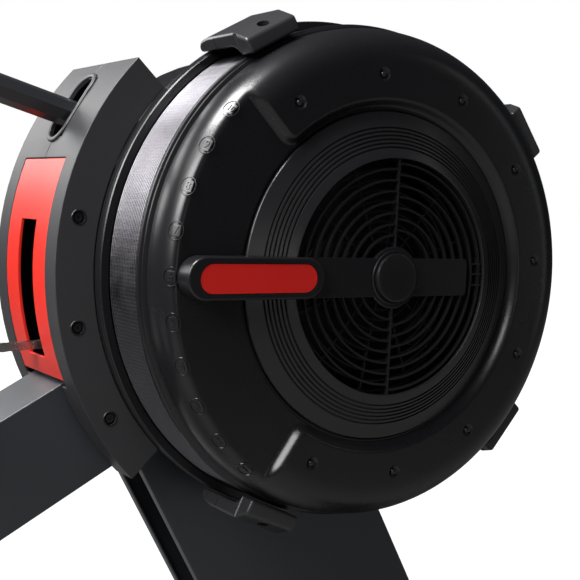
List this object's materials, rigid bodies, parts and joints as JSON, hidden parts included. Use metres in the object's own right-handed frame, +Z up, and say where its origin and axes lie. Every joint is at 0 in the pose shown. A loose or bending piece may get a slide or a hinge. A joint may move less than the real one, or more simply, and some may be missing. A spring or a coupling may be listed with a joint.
{
  "type": "rowing machine",
  "caption": "Indoor rowing machine with a damped fan drum, folded steel frame, sliding seat on a rail, pull handle, strapped footrests and swing-arm monitor.",
  "frame": {"origin": "centre of the bounding box on the floor", "axes": "+X towards the fan drum, which the rower faces, +Y to the rower's left, +Z up"},
  "size_m": [2.32, 0.6, 1.0465],
  "materials": {
    "frame_paint": "satin charcoal powder coat",
    "black_plastic": "satin black",
    "guard_plastic": "fine matte grain",
    "red_plastic": "satin red",
    "mesh_steel": "fine woven wire",
    "bright_steel": "plain",
    "rail_aluminium": "drawn, satin",
    "rubber": "matte",
    "seat_skin": "moulded foam skin",
    "strap_webbing": "woven webbing",
    "screen_glass": "display window"
  },
  "bodies": {
    "machine": {"front_leg": "frame_paint", "main_beam": "frame_paint", "axle_plate_left": "frame_paint", "axle_plate_right": "frame_paint", "front_foot": "frame_paint", "front_shoe_left": "rubber", "front_shoe_right": "rubber", "rail": "rail_aluminium", "rail_stop_front": "rubber", "rail_stop_rear": "rubber", "rear_leg": "frame_paint", "rear_foot": "frame_paint", "rear_shoe_left": "rubber", "rear_shoe_right": "rubber", "joint_bracket": "frame_paint", "barrel": "black_plastic", "side_cover": "black_plastic", "chain_panel": "red_plastic", "guard_left": "guard_plastic", "guard_right": "guard_plastic", "cage_back": "black_plastic", "mesh_band": "mesh_steel", "front_cover": "black_plastic", "vent_grille": "black_plastic", "cover_clip_bottom": "black_plastic", "cover_clip_front_bottom": "black_plastic", "cover_clip_front_top": "black_plastic", "cover_clip_top": "black_plastic", "foot_plate_left": "black_plastic", "foot_plate_right": "black_plastic", "foot_strap_left": "strap_webbing", "foot_strap_right": "strap_webbing", "handle_hook": "black_plastic"},
    "fan": {"axle": "bright_steel", "fan_rotor": "bright_steel"},
    "sprocket": {"drive_sprocket": "bright_steel"},
    "damper": {"damper_disc": "black_plastic", "damper_lever": "black_plastic"},
    "handle": {"handle_bar": "bright_steel", "handle_grip_left": "rubber", "handle_grip_right": "rubber", "chain_lead": "bright_steel"},
    "chain_middle_run": {"chain_mid": "bright_steel"},
    "chain_last_run": {"chain_tail": "bright_steel"},
    "seat": {"seat_pad": "seat_skin", "seat_carriage": "bright_steel"},
    "roller_fr": {"roller_front_right": "rubber"},
    "roller_fl": {"roller_front_left": "rubber"},
    "roller_rr": {"roller_rear_right": "rubber"},
    "roller_rl": {"roller_rear_left": "rubber"},
    "arm": {"monitor_arm": "frame_paint"},
    "monitor": {"monitor_housing": "black_plastic", "monitor_screen": "screen_glass"},
    "left_button": {"button_left": "red_plastic"},
    "middle_button": {"button_middle": "red_plastic"},
    "right_button": {"button_right": "red_plastic"},
    "heel_right": {"heel_cup_right": "black_plastic"},
    "heel_left": {"heel_cup_left": "black_plastic"},
    "wheel_right": {"transport_wheel_right": "rubber"},
    "wheel_left": {"transport_wheel_left": "rubber"}
  },
  "joints": [
    {"name": "fan_spin", "type": "hinge", "parent": "machine", "child": "fan", "pos_m": [0.91, 0, 0.56], "axis": [0, 1, 0], "continuous": true},
    {"name": "sprocket_spin", "type": "hinge", "parent": "machine", "child": "sprocket", "pos_m": [0.91, 0, 0.56], "axis": [0, 1, 0], "continuous": true},
    {"name": "damper_turn", "type": "hinge", "parent": "machine", "child": "damper", "pos_m": [0.91, -0.19, 0.56], "axis": [0, 1, 0], "range_deg": [-49, 39]},
    {"name": "handle_pull", "type": "slide", "parent": "machine", "child": "handle", "axis": [-0.9994, 0, 0.0349], "range_m": [0, 1.3]},
    {"name": "chain_middle_pull", "type": "slide", "parent": "machine", "child": "chain_middle_run", "axis": [-0.9994, 0, 0.0349], "range_m": [0, 0.8667]},
    {"name": "chain_last_pull", "type": "slide", "parent": "machine", "child": "chain_last_run", "axis": [-0.9994, 0, 0.0349], "range_m": [0, 0.43334]},
    {"name": "seat_roll", "type": "slide", "parent": "machine", "child": "seat", "axis": [1, 0, 0], "range_m": [-0.71, 0.38]},
    {"name": "roller_fr_spin", "type": "hinge", "parent": "seat", "child": "roller_fr", "pos_m": [-0.268, -0.029, 0.3553], "axis": [0, 1, 0], "continuous": true},
    {"name": "roller_fl_spin", "type": "hinge", "parent": "seat", "child": "roller_fl", "pos_m": [-0.268, 0.029, 0.3553], "axis": [0, 1, 0], "continuous": true},
    {"name": "roller_rr_spin", "type": "hinge", "parent": "seat", "child": "roller_rr", "pos_m": [-0.412, -0.029, 0.3553], "axis": [0, 1, 0], "continuous": true},
    {"name": "roller_rl_spin", "type": "hinge", "parent": "seat", "child": "roller_rl", "pos_m": [-0.412, 0.029, 0.3553], "axis": [0, 1, 0], "continuous": true},
    {"name": "arm_swing", "type": "hinge", "parent": "machine", "child": "arm", "pos_m": [0.722, 0, 0.709], "axis": [0, 1, 0], "range_deg": [-6, 6]},
    {"name": "monitor_tilt", "type": "hinge", "parent": "arm", "child": "monitor", "pos_m": [0.27, 0, 0.912], "axis": [0, 1, 0], "range_deg": [-8, 25]},
    {"name": "left_button_press", "type": "slide", "parent": "monitor", "child": "left_button", "axis": [0.9397, 0, -0.342], "range_m": [0, 0.002], "stiffness_N_per_m": 400, "springref_m": -0.0012},
    {"name": "middle_button_press", "type": "slide", "parent": "monitor", "child": "middle_button", "axis": [0.9397, 0, -0.342], "range_m": [0, 0.002], "stiffness_N_per_m": 400, "springref_m": -0.0012},
    {"name": "right_button_press", "type": "slide", "parent": "monitor", "child": "right_button", "axis": [0.9397, 0, -0.342], "range_m": [0, 0.002], "stiffness_N_per_m": 400, "springref_m": -0.0012},
    {"name": "heel_right_slide", "type": "slide", "parent": "machine", "child": "heel_right", "axis": [0.6691, 0, 0.7431], "range_m": [-0.03, 0.03]},
    {"name": "heel_left_slide", "type": "slide", "parent": "machine", "child": "heel_left", "axis": [0.6691, 0, 0.7431], "range_m": [-0.03, 0.03]},
    {"name": "wheel_right_spin", "type": "hinge", "parent": "machine", "child": "wheel_right", "pos_m": [1.068, -0.204, 0.043], "axis": [0, 1, 0], "continuous": true},
    {"name": "wheel_left_spin", "type": "hinge", "parent": "machine", "child": "wheel_left", "pos_m": [1.068, 0.204, 0.043], "axis": [0, 1, 0], "continuous": true}
  ],
  "couplings": [
    {"joint": "chain_middle_pull", "follows": "handle_pull", "ratio": 0.66667},
    {"joint": "chain_last_pull", "follows": "handle_pull", "ratio": 0.33333},
    {"joint": "sprocket_spin", "follows": "handle_pull", "rad_per_m": 16.26},
    {"joint": "roller_fr_spin", "follows": "seat_roll", "rad_per_m": 50},
    {"joint": "roller_fl_spin", "follows": "seat_roll", "rad_per_m": 50},
    {"joint": "roller_rr_spin", "follows": "seat_roll", "rad_per_m": 50},
    {"joint": "roller_rl_spin", "follows": "seat_roll", "rad_per_m": 50}
  ]
}
